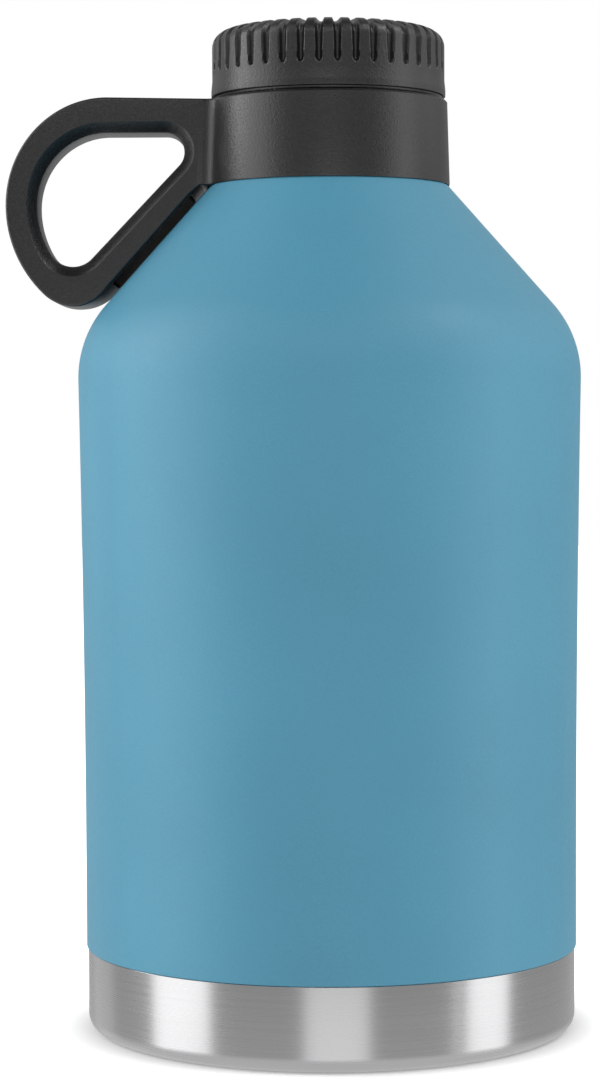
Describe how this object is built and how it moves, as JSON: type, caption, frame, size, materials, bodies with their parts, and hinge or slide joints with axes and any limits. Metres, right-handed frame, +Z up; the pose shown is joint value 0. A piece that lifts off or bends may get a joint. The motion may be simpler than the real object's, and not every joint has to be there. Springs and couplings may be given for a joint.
{
  "type": "growler",
  "caption": "Double-wall insulated steel growler with a coated body, bare steel base cup, collar with looped carrying handle, and ribbed screw cap.",
  "frame": {"origin": "on the bottle's axis, in the plane that the base stands on", "axes": "+Z up along the bottle's axis, -X towards the handle, -Y towards the front"},
  "size_m": [0.1774, 0.156, 0.3094],
  "materials": {
    "blue_powder_coat": "fine textured satin powder coat",
    "brushed_steel": "brushed around the axis, uncoated",
    "satin_steel": "satin, passivated",
    "black_nylon": "fine spark-eroded grain, satin matte",
    "grey_silicone": "smooth matte",
    "white_foam": "closed-cell foam",
    "seal_metal": "dull solder",
    "getter_alloy": "pressed powder"
  },
  "bodies": {
    "vessel": {"outer_wall": "blue_powder_coat", "outer_shoulder": "blue_powder_coat", "outer_cone": "blue_powder_coat", "outer_neck": "blue_powder_coat", "base_cup": "brushed_steel", "base_plate": "brushed_steel", "outer_bottom": "satin_steel", "vacuum_port_seal": "seal_metal", "getter_pellet": "getter_alloy", "getter_cup": "satin_steel", "inner_wall": "satin_steel", "inner_shoulder": "satin_steel", "inner_cone": "satin_steel", "inner_neck": "satin_steel", "inner_bottom": "satin_steel", "neck_ring": "satin_steel", "collar_snap_ring": "brushed_steel", "handle_collar": "black_nylon"},
    "seal": {"cap_gasket": "grey_silicone"},
    "cap": {"cap_shell": "black_nylon", "cap_liner": "black_nylon", "cap_foam": "white_foam"}
  },
  "joints": [
    {"name": "cap_lift", "type": "slide", "parent": "vessel", "child": "seal", "axis": [0, 0, 1], "range_m": [0, 0.0241]},
    {"name": "cap_turn", "type": "hinge", "parent": "seal", "child": "cap", "pos_m": [0, 0, 0.299], "axis": [0, 0, 1], "range_deg": [0, 1440]}
  ],
  "couplings": [
    {"joint": "cap_lift", "follows": "cap_turn", "m_per_rad": 0.00095493}
  ]
}
